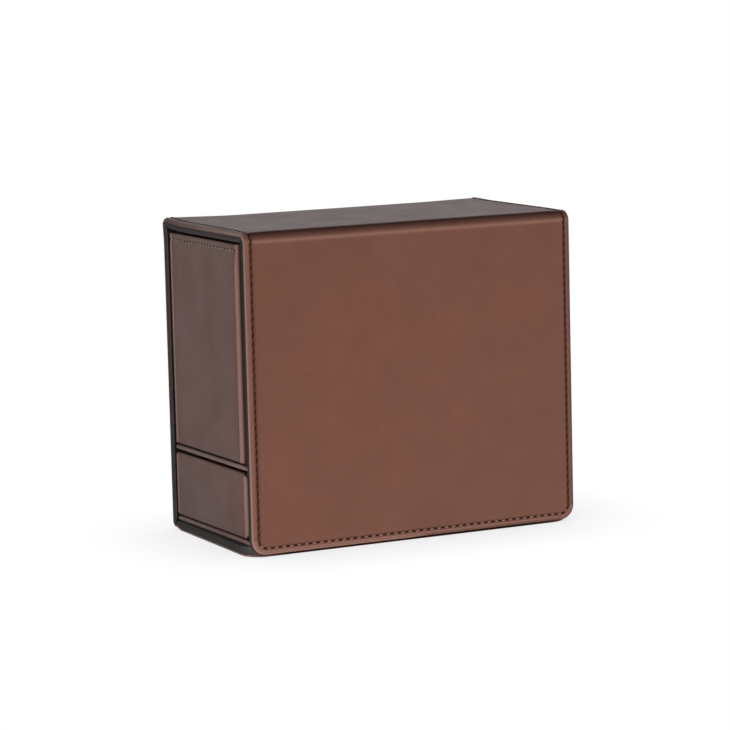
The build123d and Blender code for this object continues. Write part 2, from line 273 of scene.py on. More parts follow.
# %% Nap, the short brushed fibres of the lining cloth
nap, nap_in, nap_out = new_group("brushed nap", {"Scale": 2600.0}, ("Height", "Tone"))
nap_place = add_node(nap, "TexCoord").outputs["Object"]
nap_scale = nap_in.outputs["Scale"]
nap_fibre = add_node(nap, "TexNoise", Vector=nap_place, Scale=nap_scale, Detail=4.0, Roughness=0.75)
nap_brush = add_node(nap, "TexNoise", Vector=nap_place, Scale=60.0, Detail=3.0, Distortion=1.2)
nap.links.new(nap_fibre.outputs[0], nap_out.inputs["Height"])
nap_sweep = spread(nap, nap_brush.outputs[0], 0.3, 0.7, 0, 0.5)
nap_tone = calculate(nap, "MULTIPLY_ADD", nap_fibre.outputs[0], 0.5, nap_sweep)
nap.links.new(nap_tone, nap_out.inputs["Tone"])
print("group:", nap.name)

# %% [markdown]
# ## Leatherette
# A brown, satin coating. The drift goes between a redder and a more olive brown, the pores are a
# little darker, and the attribute called rim, which each panel carries on its own points, paints
# highlight on the lit edges, margins, ridges and rolls, first warmer and then paler. The attribute
# called groove paints shade into seams, creases and the sides turned away from the light, and takes
# the shine down there. Seen at a slant, the colour is mixed towards grey: a painted reflection of
# the pale surroundings.

# %% A material starts as a Principled shader with its plain values set on the sockets


def new_material(name, colour, roughness, **values):
    """A material, its node tree and its Principled shader."""
    material = bpy.data.materials.new(name)
    material.use_nodes = True
    material.diffuse_color = (*colour, 1)
    tree = material.node_tree
    shader = tree.nodes["Principled BSDF"]
    shader.inputs["Base Color"].default_value = (*colour, 1)
    shader.inputs["Roughness"].default_value = roughness
    for key, value in values.items():
        shader.inputs[key.replace("_", " ")].default_value = value
    return material, tree, shader


def bump_into(tree, shader, height, strength, distance):
    """Feeds a height into the shader's normal."""
    bump = add_node(tree, "Bump", Strength=strength, Distance=distance, Height=height)
    tree.links.new(bump.outputs["Normal"], shader.inputs["Normal"])


# %% Leatherette of the cover and the end panels
RED_BROWN = (0.212, 0.062, 0.031)
OLIVE_BROWN = (0.128, 0.048, 0.026)
PORE_BROWN = (0.110, 0.035, 0.018)
# Painted highlight, first warm and then pale, and painted shade:
PAINTED_WARM_HIGHLIGHT = (0.295, 0.134, 0.098)
PAINTED_HIGHLIGHT_BROWN = (0.500, 0.340, 0.300)
PAINTED_SHADE_BROWN = (0.045, 0.014, 0.009)
HIGHLIGHT_WARM_STAGE = 0.4
LEATHER_SHINE = 0.62
CREASE_SHINE = 0.05
# Painted reflection: grey mixed in where the coating is seen at a slant.
PAINTED_REFLECTION_GREY = (0.080, 0.053, 0.055)
PAINTED_REFLECTION_MOST = 0.75

leatherette, leather_tree, leather_shader = new_material(
    "leatherette", RED_BROWN, 0.6, Specular_IOR_Level=LEATHER_SHINE
)
leather_patina = use_group(leather_tree, patina, Scale=14.0)
leather_grain = use_group(leather_tree, grain, Scale=1700.0)
leather_highlight_paint = add_node(leather_tree, "Attribute", attribute_name="rim")
leather_shade_paint = add_node(leather_tree, "Attribute", attribute_name="groove")
leather_slant = add_node(leather_tree, "LayerWeight", Blend=0.5)
leather_layers = (
    (leather_patina.outputs["Drift"], 0, 1, 0.5, OLIVE_BROWN),
    (leather_patina.outputs["Cloud"], 0, 1, 0.4, OLIVE_BROWN),
    (leather_patina.outputs["Fleck"], 0, 1, 0.5, OLIVE_BROWN),
    (leather_grain.outputs["Pore"], 0, 1, 0.35, PORE_BROWN),
    # Painted reflection at a slant, then painted highlight by rim and painted shade by groove.
    (leather_slant.outputs["Facing"], 0.3, 0.95, PAINTED_REFLECTION_MOST, PAINTED_REFLECTION_GREY),
    (leather_highlight_paint.outputs["Fac"], 0, HIGHLIGHT_WARM_STAGE, 1, PAINTED_WARM_HIGHLIGHT),
    (leather_highlight_paint.outputs["Fac"], HIGHLIGHT_WARM_STAGE, 1, 1, PAINTED_HIGHLIGHT_BROWN),
    (leather_shade_paint.outputs["Fac"], 0, 1, 1, PAINTED_SHADE_BROWN),
)
leather_tone = RED_BROWN
for mask, low, high, most, colour in leather_layers:
    leather_share = spread(leather_tree, mask, low, high, 0, most)
    leather_tone = blend_colours(leather_tree, leather_share, leather_tone, colour)
leather_tree.links.new(leather_tone, leather_shader.inputs["Base Color"])
# Where shade is painted, the shine is taken down as well.
leather_shine = spread(leather_tree, leather_shade_paint.outputs["Fac"], 0, 1, LEATHER_SHINE, CREASE_SHINE)
leather_tree.links.new(leather_shine, leather_shader.inputs["Specular IOR Level"])
leather_gloss = spread(leather_tree, leather_patina.outputs["Cloud"], 0, 1, 0.55, 0.65)
leather_tree.links.new(leather_gloss, leather_shader.inputs["Roughness"])
bump_into(leather_tree, leather_shader, leather_grain.outputs["Height"], 0.25, 0.06 * MM)
print("material:", leatherette.name)

# %% The same leatherette with painted highlight over the thin lips of the ends
lip_leather_painted_highlight = leatherette.copy()
lip_leather_painted_highlight.name = "lip_leather_painted_highlight"
lip_shader = lip_leather_painted_highlight.node_tree.nodes["Principled BSDF"]
lip_tone = lip_shader.inputs["Base Color"].links[0].from_socket
lip_highlight_cloud = use_group(lip_leather_painted_highlight.node_tree, patina, Scale=90.0)
# The cloud sets how much painted highlight each place of a lip takes.
lip_share = spread(lip_leather_painted_highlight.node_tree, lip_highlight_cloud.outputs["Cloud"], 0, 1, 0.32, 0.55)
lip_tone = blend_colours(lip_leather_painted_highlight.node_tree, lip_share, lip_tone, PAINTED_HIGHLIGHT_BROWN)
lip_leather_painted_highlight.node_tree.links.new(lip_tone, lip_shader.inputs["Base Color"])
print("material:", lip_leather_painted_highlight.name)

# %% [markdown]
# ## Cloth, board, thread and steel
# The lining is a black brushed microfibre on grey board, whose cut edge shows. The wells are lined
# with a softer, warmer suede, the boards of the carcass are wrapped in the lining cloth, and the
# threads are waxed and beige at the rims. The strip's thread comes in two tones: painted shade makes
# it dark brown on the upright seams, and painted light makes it paler on the others.

# %% Dark lining cloth and the suede of the wells


def cloth_material(name, dark, pale, scale, sheen, shine=0.15):
    """A brushed cloth whose tone follows its fibres."""
    material, tree, shader = new_material(
        name, dark, 0.9, Specular_IOR_Level=shine, Sheen_Weight=sheen, Sheen_Roughness=0.45
    )
    fibres = use_group(tree, nap, Scale=scale)
    tree.links.new(blend_colours(tree, fibres.outputs["Tone"], dark, pale), shader.inputs["Base Color"])
    rough = spread(tree, fibres.outputs["Tone"], 0, 1, 0.82, 0.97)
    tree.links.new(rough, shader.inputs["Roughness"])
    bump_into(tree, shader, fibres.outputs["Height"], 0.5, 0.12 * MM)
    print("material:", name)
    return material


lining_cloth = cloth_material("lining_cloth", (0.009, 0.008, 0.009), (0.022, 0.020, 0.021), 2600.0, 0.04)
lining_edge = cloth_material("lining_edge", (0.094, 0.081, 0.080), (0.165, 0.146, 0.145), 2600.0, 0.02)
# Painted shade: a darker copy of the edge cloth for the flap's cut edge, which the low key lamp lights
# more than the other edges.
flap_edge_painted_shade = cloth_material("flap_edge_painted_shade", (0.040, 0.036, 0.035), (0.075, 0.068, 0.066), 2600.0, 0.02)
well_suede = cloth_material("well_suede", (0.040, 0.030, 0.027), (0.082, 0.064, 0.057), 1800.0, 0.2)
wrapped_board = cloth_material("wrapped_board", (0.018, 0.017, 0.018), (0.040, 0.038, 0.039), 3400.0, 0.05)
grey_board = cloth_material("grey_board", (0.180, 0.170, 0.155), (0.290, 0.275, 0.255), 900.0, 0.0)

# %% Threads, painted shade for the needle holes, and the magnets' plated steel


def thread_material(name, dark, pale):
    """A twisted thread whose plies run across it."""
    material, tree, shader = new_material(name, dark, 0.6, Specular_IOR_Level=0.15)
    place = add_node(tree, "TexCoord").outputs["Object"]
    ply = add_node(tree, "TexWave", Vector=place, Scale=900.0, Distortion=1.0, bands_direction="DIAGONAL")
    tree.links.new(blend_colours(tree, ply.outputs["Fac"], dark, pale), shader.inputs["Base Color"])
    bump_into(tree, shader, ply.outputs["Fac"], 0.5, 0.08 * MM)
    print("material:", name)
    return material


# One thread in two tones: a dark copy for painted shade and a paler copy for painted light.
thread_painted_shade = thread_material("thread_painted_shade", (0.060, 0.020, 0.014), (0.110, 0.040, 0.028))
thread_painted_light = thread_material("thread_painted_light", (0.250, 0.120, 0.088), (0.370, 0.200, 0.158))
beige_thread = thread_material("beige_thread", (0.420, 0.320, 0.250), (0.600, 0.490, 0.410))
# Painted shade: dark beads for the needle holes between the stitches.
needle_hole_shade = cloth_material("needle_hole_shade", (0.020, 0.008, 0.006), (0.036, 0.016, 0.012), 1500.0, 0.0, 0.0)

magnet_steel, steel_tree, steel_shader = new_material("magnet_steel", (0.6, 0.6, 0.6), 0.3, Metallic=1.0)
steel_marks = use_group(steel_tree, nap, Scale=1200.0)
steel_gloss = spread(steel_tree, steel_marks.outputs["Height"], 0.2, 0.8, 0.22, 0.42)
steel_tree.links.new(steel_gloss, steel_shader.inputs["Roughness"])
print("materials:", needle_hole_shade.name, magnet_steel.name)

# %% [markdown]
# ## Flat panels
# Every sewn panel starts as a flat blank: a thin block with its corners rounded, its rim rolled
# over by a bevel and its face scored by insets where the seam will run. Scoring lines that cross
# the blank give it the points that it needs to bend. Only then is the face raised and lowered.

# %% Tools for a flat blank
RIM_ROUND = 1.1 * MM
BACK_ROUND = 0.25 * MM
ALONG_X = Vector((1, 0, 0))
ALONG_Y = Vector((0, 1, 0))
FACE_LEVEL = 1e-6
FACING = 0.9
SHARP_ANGLE = math.radians(40)
FLAT_ANGLE = math.radians(1)


def large_face(bm, side):
    """The large face on top of a blank, or under it where side is -1."""
    facing = [face for face in bm.faces if side * face.normal.z > FACING]
    return max(facing, key=lambda face: face.calc_area())


def roll_edges(bm, edges, size, segments):
    """Rounds edges of a blank."""
    bmesh.ops.bevel(
        bm, geom=edges, offset=size, segments=segments, profile=0.5, affect="EDGES", material=-1
    )


def cut_blank(low, high, thickness, rim=RIM_ROUND, low_corner=0.0, high_corner=0.0):
    """A blank from corner low to corner high, its outer face up at height 0."""
    bm = bmesh.new()
    bmesh.ops.create_cube(bm, size=1.0)
    size = Vector((high[0] - low[0], high[1] - low[1], thickness))
    middle = Vector(((high[0] + low[0]) / 2, (high[1] + low[1]) / 2, -thickness / 2))
    bmesh.ops.scale(bm, vec=size, verts=bm.verts)
    bmesh.ops.translate(bm, vec=middle, verts=bm.verts)
    upright = [edge for edge in bm.edges if abs(edge.verts[0].co.z - edge.verts[1].co.z) > thickness / 2]
    at_low = [edge for edge in upright if edge.verts[0].co.y < middle.y]
    at_high = [edge for edge in upright if edge.verts[0].co.y > middle.y]
    for corner, edges in ((low_corner, at_low), (high_corner, at_high)):
        if corner:
            roll_edges(bm, edges, corner, 12)
    bm.normal_update()
    roll_edges(bm, large_face(bm, 1).edges[:], rim, 5)
    bm.normal_update()
    roll_edges(bm, large_face(bm, -1).edges[:], BACK_ROUND, 2)
    bm.normal_update()
    return bm


def score(bm, direction, places):
    """Cuts lines straight across a blank."""
    for place in places:
        everything = bm.verts[:] + bm.edges[:] + bm.faces[:]
        bmesh.ops.bisect_plane(
            bm, geom=everything, dist=FACE_LEVEL, plane_co=direction * place, plane_no=direction
        )


def trim(bm, place, keep_before):
    """Cuts a blank off across its length and closes the cut."""
    everything = bm.verts[:] + bm.edges[:] + bm.faces[:]
    bmesh.ops.bisect_plane(
        bm, geom=everything, dist=FACE_LEVEL, plane_co=ALONG_Y * place, plane_no=ALONG_Y,
        clear_outer=keep_before, clear_inner=not keep_before,
    )
    closed = bmesh.ops.holes_fill(bm, edges=[edge for edge in bm.edges if edge.is_boundary], sides=0)
    for edge in {edge for face in closed["faces"] for edge in face.edges}:
        edge.smooth = False


def evenly(low, high, gap):
    """Places between two ends, about a gap apart."""
    count = max(int(round((high - low) / gap)), 1)
    return [low + (high - low) * step / count for step in range(1, count)]


def finish_piece(name, bm, *materials):
    """Turns a bmesh into a smooth-shaded object with its faces pointing outwards."""
    bmesh.ops.recalc_face_normals(bm, faces=bm.faces)
    mesh = bpy.data.meshes.new(name)
    for face in bm.faces:
        face.smooth = True
    bm.to_mesh(mesh)
    bm.free()
    for material in materials:
        mesh.materials.append(material)
    piece = bpy.data.objects.new(name, mesh)
    bpy.context.scene.collection.objects.link(piece)
    print("piece:", name, len(mesh.polygons), "faces")
    return piece


# %% [markdown]
# ## The leatherette strip
# On the real box the strip is one skin from the flap's edge to the bottom's. Here it is three
# pieces that meet on flat ground: flap, lid and back.
# The face sinks into a shallow channel along the seam and swells a little inside it.

# %% Height of the strip's face, by its distance from the edge
flap_corner = 6.5 * MM
stitch_inset = 2.9 * MM
MARGIN = (0.4 * stitch_inset, 0.9 * stitch_inset)
LID_MARGIN = (0.6 * stitch_inset, 2 * stitch_inset)
FOLD_MARGIN = (0.3 * stitch_inset, stitch_inset)
GROOVE_DEPTH = 0.42 * MM
LID_GROOVE = 0.2
GROOVE_HALF = 1.0 * MM
# Width of the painted shade in the seam's channel:
SEAM_SHADE_HALF = 0.75 * MM
CROWN_HEIGHT = 0.2 * MM
CROWN_REACH = 7.0 * MM
LID_HEM = 0.1 * MM
LID_SETTLE = 12.0 * MM
FLAP_HEM = 0.5 * MM
# Painted highlight on the flap's margins, stronger on the lower one, which is lit from below:
MARGIN_HIGHLIGHT = (0.18, 0.44)
RIDGE_RISE = 1.0 * MM
RIDGE_HEIGHT = 0.36 * MM
RIDGE_HALF = 0.85 * MM
# Painted highlight on the ridge's crest:
RIDGE_HIGHLIGHT = 0.34
# Painted shade on the upper half of the front fold, which faces away from the light:
FOLD_PAINTED_SHADE = 0.95
FOLD_SHARP = (1.0 * MM, 1.6 * MM)
FOLD_FADE = (2.2 * MM, 6.0 * MM)
# Painted shade along the right edge, turned away from the light, and on the lid's left edge towards the
# rear:
RIGHT_EDGE_PAINTED_SHADE = 0.85
RIGHT_REACH = 1.6 * MM
REAR_EDGE_PAINTED_SHADE = 0.5
# Painted shade in the seam's channel:
SEAM_PAINTED_SHADE = 0.7
LID_SEAM_PAINTED_SHADE = 0.1
UNEVENNESS = 0.05 * MM
RIPPLE_SCALE = 28.0
RIM_REACH = 0.45 * MM
RIM_DEPTH = 1.6 * MM
# The painted highlight of the left edge fades along the lid; the back's cut edge takes a strong one:
LID_HIGHLIGHT_LOSS = 0.92
BACK_EDGE_HIGHLIGHT = 1.6
# Painted shade under the box:
UNDER_PAINTED_SHADE = 0.85
UNDER_REACH = 20.0 * MM
UNDER_START = 0.3 * MM
PANEL_MESH = 6.0 * MM
FOLD_STEPS = 14
HEEL_STEPS = (0.15, 0.3, 0.45, 0.6, 0.75, 1.0)
RIDGE_STEPS = (0.4, 0.8, 1.2, 1.6, 2.0, 2.6)
SEAM_SETBACK = 10.0 * MM
OVERCUT = 20.0 * MM
SEAM_SCORES = (0.4, 0.4, 0.35, 0.35, 0.3, 0.3, 0.35, 0.5, 0.7, 1.0)

flap_seam = begins["lid"] + SEAM_SETBACK
back_seam = begins["back"] + SEAM_SETBACK


def peak(distance, half):
    """A bell of height 1 that has fallen to about a third at half."""
    return math.exp(-((distance / half) ** 2))


def inset_in(across, along, corner):
    """How far a point lies inside a rounded corner, from its distances to the two edges."""
    if across < corner and along < corner:
        return corner - math.hypot(corner - across, corner - along)
    return min(across, along)


def edge_inset(x, travel):
    """How far a point of the strip lies inside the strip's edge."""
    return inset_in(half_width - abs(x), min(travel, strip_length - travel), flap_corner)


def ridge_share(travel):
    """How near a point is to the ridge where the flap's board ends under the front fold."""
    return peak(travel - begins["front fold"] - RIDGE_RISE, RIDGE_HALF)


def groove_share(x, travel, half):
    """How deep in the seam's channel a point lies, from 0 to 1."""
    if travel > begins["bottom fold"]:
        return 0.0
    return peak(edge_inset(x, travel) - stitch_inset, half)


def strip_height(x, travel):
    """Height of the strip's face over the box's plain outer face."""
    inset = edge_inset(x, travel)
    on_lid = smooth(travel, begins["lid"], begins["lid"] + LID_SETTLE)
    on_lid *= 1 - smooth(travel, begins["rear fold"], begins["back"] + LID_SETTLE)
    standing = 1 - smooth(travel, begins["bottom fold"] - CROWN_REACH, begins["bottom fold"])
    swell = (1 - math.exp(-max(inset - stitch_inset, 0) / CROWN_REACH)) * standing
    crown = CROWN_HEIGHT * (1 - on_lid)
    hem = LID_HEM * on_lid * (1 - smooth(inset, *LID_MARGIN))
    on_flap = 1 - smooth(travel, begins["front fold"] - CROWN_REACH, begins["front fold"])
    hem -= FLAP_HEM * on_flap * (1 - smooth(inset, *MARGIN))
    ripple = UNEVENNESS * noise.noise(Vector((x, travel, 0)) * RIPPLE_SCALE)
    ridge = RIDGE_HEIGHT * ridge_share(travel) * smooth(inset, 0, stitch_inset)
    groove = GROOVE_DEPTH * (1 + (LID_GROOVE - 1) * on_lid) * groove_share(x, travel, GROOVE_HALF)
    return (crown + ripple) * swell + hem + ridge - groove


def edge_share(x, travel, reach):
    """1 at the strip's edge, 0 a little way in."""
    return min(max(1 - edge_inset(x, travel) / reach, 0), 1)


def under_share(x):
    """0 at the strip's sides under the box, 1 well inside them."""
    return smooth(half_width - abs(x), 0, UNDER_REACH)


def strip_painted_highlight(x, travel, depth):
    """How much painted highlight a point of the strip carries: its lit left edge, its margin, the ridge at
    the fold, the back's cut edge and the side edges under the box.
    """
    if travel > begins["bottom"]:
        return 1 - under_share(x) if depth > UNDER_START else 0.0
    if depth > RIM_DEPTH:
        return 0.0
    inset = edge_inset(x, travel)
    # Painted highlight on the left edge only, the side that faces the lamps.
    share = edge_share(x, travel, RIM_REACH) if x < 0 else 0.0
    share *= 1 - LID_HIGHLIGHT_LOSS * smooth(travel, begins["lid"], begins["rear fold"])
    if travel > begins["back"]:
        return BACK_EDGE_HIGHLIGHT * share
    margin = 0.0
    if travel < begins["front fold"]:
        margin = MARGIN_HIGHLIGHT[travel < flap_corner]
        margin *= 1 - smooth(inset, *MARGIN)
    return max(share, margin, RIDGE_HIGHLIGHT * ridge_share(travel))


def strip_painted_shade(x, travel, depth):
    """How much painted shade a point of the strip carries: in the seam's channel, on the upper half of the
    front fold, along the right edge, on the lid's left edge towards the rear, and under the box.
    """
    if travel > begins["bottom"]:
        return UNDER_PAINTED_SHADE * (under_share(x) if depth > UNDER_START else 1.0)
    over = begins["lid"] - travel
    fold = FOLD_PAINTED_SHADE * smooth(over, *FOLD_SHARP) * (1 - smooth(over, *FOLD_FADE))
    fold *= smooth(edge_inset(x, travel), *FOLD_MARGIN)
    seam = LID_SEAM_PAINTED_SHADE if begins["lid"] < travel < begins["back"] else SEAM_PAINTED_SHADE
    # Painted shade on the right edge, and on the lid's left edge towards the rear.
    if x > 0:
        shaded = RIGHT_EDGE_PAINTED_SHADE * edge_share(x, travel, RIGHT_REACH)
    else:
        to_rear = smooth(travel, begins["lid"], begins["rear fold"])
        to_rear *= 1 - smooth(travel, begins["rear fold"], begins["back"] + SEAM_SETBACK)
        shaded = REAR_EDGE_PAINTED_SHADE * to_rear * edge_share(x, travel, RIM_REACH)
    return max(fold, shaded, seam * groove_share(x, travel, SEAM_SHADE_HALF))


def paint_light_and_shade(bm, highlight_of, shade_of):
    """Stores on each point its painted highlight, as the attribute rim, and its painted shade, as the
    attribute groove.
    """
    highlight_layer = bm.verts.layers.float.new("rim")
    shade_layer = bm.verts.layers.float.new("groove")
    for point in bm.verts:
        x, travel, height = point.co
        point[highlight_layer] = highlight_of(x, travel, -height)
        point[shade_layer] = shade_of(x, travel, -height)


# %% Cut, score, shape and fold one length of the strip
LIP_STEP = 0.1 * MM
LIP_RIM = 0.8 * MM
BACK_SKIN = 0.48
BOTTOM_SKIN = 0.42
LIP_SKIN = 0.26
bottom_corner = 9.0 * MM
lip_start = strip_length - lip_length


def skin_share(travel):
    """How much of the full skin is left: it is pared on the back, under the box and at the lip."""
    if travel > lip_start - FACE_LEVEL:
        return LIP_SKIN
    share = 1 + (BACK_SKIN - 1) * smooth(travel, begins["rear fold"], begins["back"])
    return share + (BOTTOM_SKIN - BACK_SKIN) * smooth(travel, begins["bottom fold"], begins["bottom"])


def fold_scores(start, stop):
    """Lines across the strip: close together on a fold, further apart on a panel."""
    places = []
    for run, length, radius in wrap_runs:
        first = max(begins[run], start)
        last = min(begins[run] + length, stop)
        if last - first > FACE_LEVEL:
            gap = length / FOLD_STEPS if radius else PANEL_MESH
            places += [first] + evenly(first, last, gap)
    places += [begins["bottom"] + step * HEEL_REACH for step in HEEL_STEPS]
    ridge = begins["front fold"] + RIDGE_RISE
    places += [ridge - step * RIDGE_HALF for step in RIDGE_STEPS]
    places += [begins["lid"] - over for over in FOLD_SHARP]
    places += [lip_start - LIP_STEP, lip_start]
    return [place for place in places if start + FACE_LEVEL < place < stop - FACE_LEVEL]


def cut_length(start, stop, free_start, free_stop, thickness, rim, corner, insets):
    """A flat length of the strip, inset along its edges and cut off where it goes on."""
    low = (-half_width, start if free_start else start - OVERCUT)
    high = (half_width, stop if free_stop else stop + OVERCUT)
    bm = cut_blank(
        low, high, thickness, rim=rim,
        low_corner=flap_corner if free_start else 0.0,
        high_corner=corner if free_stop else 0.0,
    )
    face = large_face(bm, 1)
    for width in insets:
        bmesh.ops.inset_region(bm, faces=[face], thickness=width * MM, use_even_offset=True)
    if not free_start:
        trim(bm, start, keep_before=False)
    if not free_stop:
        trim(bm, stop, keep_before=True)
    return bm


def leather_strip(name, start, stop, free_start=False, free_stop=False):
    """A length of the leatherette strip, folded round the box."""
    rim = LIP_RIM if free_stop else RIM_ROUND
    bm = cut_length(start, stop, free_start, free_stop, skin, rim, bottom_corner, SEAM_SCORES)
    score(bm, ALONG_X, evenly(-half_width, half_width, PANEL_MESH))
    score(bm, ALONG_Y, fold_scores(start, stop))
    paint_light_and_shade(bm, strip_painted_highlight, strip_painted_shade)
    for point in bm.verts:
        x, travel, height = point.co
        if height > -FACE_LEVEL:
            height += strip_height(x, travel)
        else:
            height *= skin_share(travel)
        point.co = wrap_point(x, travel, height)
    return finish_piece(name, bm, leatherette)


# %% Flap, lid and back of the strip
flap_leather = leather_strip("flap_leather", 0.0, flap_seam, free_start=True)
lid_leather = leather_strip("lid_leather", flap_seam, back_seam)
back_leather = leather_strip("back_leather", back_seam, strip_length, free_stop=True)

# %% [markdown]
# Each moving fold turns between two bodies. The ends of each fold are worked out here, but no piece
# is bent: the flap and lid pieces are only baked in place, and the back piece is attached to the case.

# %% Bake the flap and lid pieces in place, attach the back piece to the case, hide the CAD nodes
front_bend_start = wrap_point(0, begins["lid"], 0)
front_bend_end = wrap_point(0, begins["front fold"], 0)
rear_bend_start = wrap_point(0, begins["back"], 0)
rear_bend_end = wrap_point(0, begins["rear fold"], 0)


def bend_front(piece):
    """Bakes a piece's placement into its mesh; it is not bent between lid and flap."""
    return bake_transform(piece)


def bend_rear(piece):
    """Bakes a piece's placement into its mesh; it is not bent between case and lid."""
    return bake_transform(piece)


bend_front(flap_leather)
bend_rear(lid_leather)
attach(back_leather, "case")
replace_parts(flap_leather, "flap_cover", "front_fold")
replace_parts(lid_leather, "lid_cover", "rear_fold")
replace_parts(back_leather, "back_cover", "bottom_fold", "bottom_cover")

# %% [markdown]
# ## The lining
# Inside the leatherette lies a board wrapped in dark cloth, flush with it all round. Its cut edge
# is the dark band that frames the ends of the box. At the two rear folds the board stops short,
# and only the cloth goes round, so the lining is thin there and full everywhere else. The flap's
# cut edge is painted darker than the others, painted shade against the extra light that the low key
# lamp throws on it, and the tone changes inside the front fold.

# %% Lining strips
CLOTH_THICKNESS = 0.9 * MM
BOARD_STOP = 2.0 * MM
BOARD_ENDS = (("rear fold", -1), ("back", 1), ("bottom fold", -1), ("bottom", 1))
LINING_ROUND = 0.4 * MM
LINING_CORNER = 7.0 * MM
LINING_SCORES = (1.5,)
edge_change = (begins["front fold"] + begins["lid"]) / 2


def lining_thickness(travel):
    """Thickness of the lining: the full board on panels, the bare cloth on the two rear folds."""
    share = 1.0
    for run, after in (("rear fold", "back"), ("bottom fold", "bottom")):
        outside = max(begins[run] - travel, travel - begins[after], 0.0)
        share = min(share, outside / BOARD_STOP)
    return CLOTH_THICKNESS + (lining - CLOTH_THICKNESS) * share


def lining_strip(name, start, stop, free_start=False, free_stop=False):
    """A length of the lining, with its cloth face towards the inside of the box."""
    bm = cut_length(
        start, stop, free_start, free_stop, lining, LINING_ROUND, LINING_CORNER, LINING_SCORES
    )
    score(bm, ALONG_X, evenly(-half_width, half_width, 2 * PANEL_MESH))
    edges = [begins[run] + side * BOARD_STOP for run, side in BOARD_ENDS]
    score(bm, ALONG_Y, fold_scores(start, stop) + [edge for edge in edges if start < edge < stop])
    bm.normal_update()
    for face in bm.faces:
        if face.normal.z <= FACING:
            # The flap's cut edges take the copy with painted shade, the others the plain edge colour.
            face.material_index = 1 if face.calc_center_median().y < edge_change else 2
    for point in bm.verts:
        share = (point.co.z + lining) / lining
        outer = skin * skin_share(point.co.y)
        inner = skin + lining_thickness(point.co.y) - heel_rise(point.co.y)
        point.co = wrap_point(point.co.x, point.co.y, -outer - share * (inner - outer))
    return finish_piece(name, bm, lining_cloth, flap_edge_painted_shade, lining_edge)


flap_lining = lining_strip("flap_lining_cloth", 0.0, flap_seam, free_start=True)
lid_lining = lining_strip("lid_lining_cloth", flap_seam, back_seam)
back_lining = lining_strip("back_lining_cloth", back_seam, lip_start, free_stop=True)
bend_front(flap_lining)
bend_rear(lid_lining)
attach(back_lining, "case")
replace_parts(flap_lining, "flap_lining", "front_fold_lining")
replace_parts(lid_lining, "lid_lining", "rear_fold_roll")
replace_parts(back_lining, "back_lining", "bottom_lining")

# %% [markdown]
# ## Stitches
# A sewn row is a line of short threads that dive into needle holes. One stitch is a small ball
# drawn out along the row, turned a little, as a lockstitch pulls it. The holes are dark beads
# between them, painted shade for the needle holes. The row runs on the flat strip, so it wraps
# with it.

# %% One stitch, and a row of them
STITCH_PITCH = 3.55 * MM
STITCH_SIZE = Vector((0.8, 1.8, 0.42)) * MM
HOLE_SIZE = Vector((0.75, 2.3, 0.3)) * MM
LONG_HOLE = Vector((0.66, 3.8, 0.32)) * MM
STITCH_SLANT = math.radians(14)
THREAD_LIFT = 0.1 * MM
LID_THREAD = 0.15 * MM
HOLE_LIFT = 0.03 * MM


def add_bead(bm, size, place, turn, material_index, segments, rings):
    """Adds a drawn-out ball of one size, turned in the plane of the strip."""
    made = bmesh.ops.create_uvsphere(bm, u_segments=segments, v_segments=rings, radius=0.5)
    points = made["verts"]
    bmesh.ops.rotate(bm, verts=points, cent=Vector(), matrix=Matrix.Rotation(QUARTER, 3, "X"))
    bmesh.ops.scale(bm, verts=points, vec=size)
    bmesh.ops.rotate(bm, verts=points, cent=Vector(), matrix=Matrix.Rotation(turn, 3, "Z"))
    bmesh.ops.translate(bm, verts=points, vec=place)
    for face in {face for point in points for face in point.link_faces}:
        face.material_index = material_index


def sew(name, row, place_on_box, yarn, upright_yarn, stitch=STITCH_SIZE, hole=HOLE_SIZE):
    """A row of stitches and needle holes; row holds places on the flat, turns and channel floors."""
    bm = bmesh.new()
    for along, across, turn, floor, is_hole in row:
        upright = abs(turn) < QUARTER / 2
        if is_hole:
            place = Vector((along, across, floor + HOLE_LIFT))
            add_bead(bm, LONG_HOLE if upright else hole, place, turn - STITCH_SLANT, 1, 8, 4)
        else:
            place = Vector((along, across, floor + THREAD_LIFT))
            # Upright stitches take the third material, on the flap and back the thread with painted shade.
            add_bead(bm, stitch, place, turn + STITCH_SLANT, 2 if upright else 0, 8, 6)
    for point in bm.verts:
        point.co = place_on_box(*point.co)
    return finish_piece(name, bm, yarn, needle_hole_shade, upright_yarn)


# %% Rows on the strip
CORNER_RADIUS = flap_corner - stitch_inset
row_x = half_width - stitch_inset


def flap_row_point(distance):
    """Place and turn on the flap's row, by the distance from the middle of its lower side."""
    side = 1 if distance > 0 else -1
    distance = abs(distance)
    straight = half_width - flap_corner
    arc = QUARTER * CORNER_RADIUS
    if distance < straight:
        return side * distance, stitch_inset, QUARTER
    if distance < straight + arc:
        angle = (distance - straight) / CORNER_RADIUS
        x = straight + CORNER_RADIUS * math.sin(angle)
        return side * x, flap_corner - CORNER_RADIUS * math.cos(angle), side * (angle - QUARTER)
    return side * row_x, flap_corner + distance - straight - arc, 0.0


def strip_row():
    """Every stitch of the strip, as place, turn, channel floor and whether it is a needle hole."""
    to_corner = half_width - flap_corner + QUARTER * CORNER_RADIUS
    half_row = to_corner + begins["bottom fold"] - flap_corner
    count = int(half_row / (STITCH_PITCH / 2))
    row = []
    for step in range(-count, count + 1):
        x, travel, turn = flap_row_point((step + 0.001) * STITCH_PITCH / 2)
        is_hole = step % 2 == 1
        raised = not is_hole and begins["lid"] < travel < begins["rear fold"]
        floor = strip_height(x, travel) + (LID_THREAD if raised else 0.0)
        row.append((x, travel, turn, floor, is_hole))
    return row


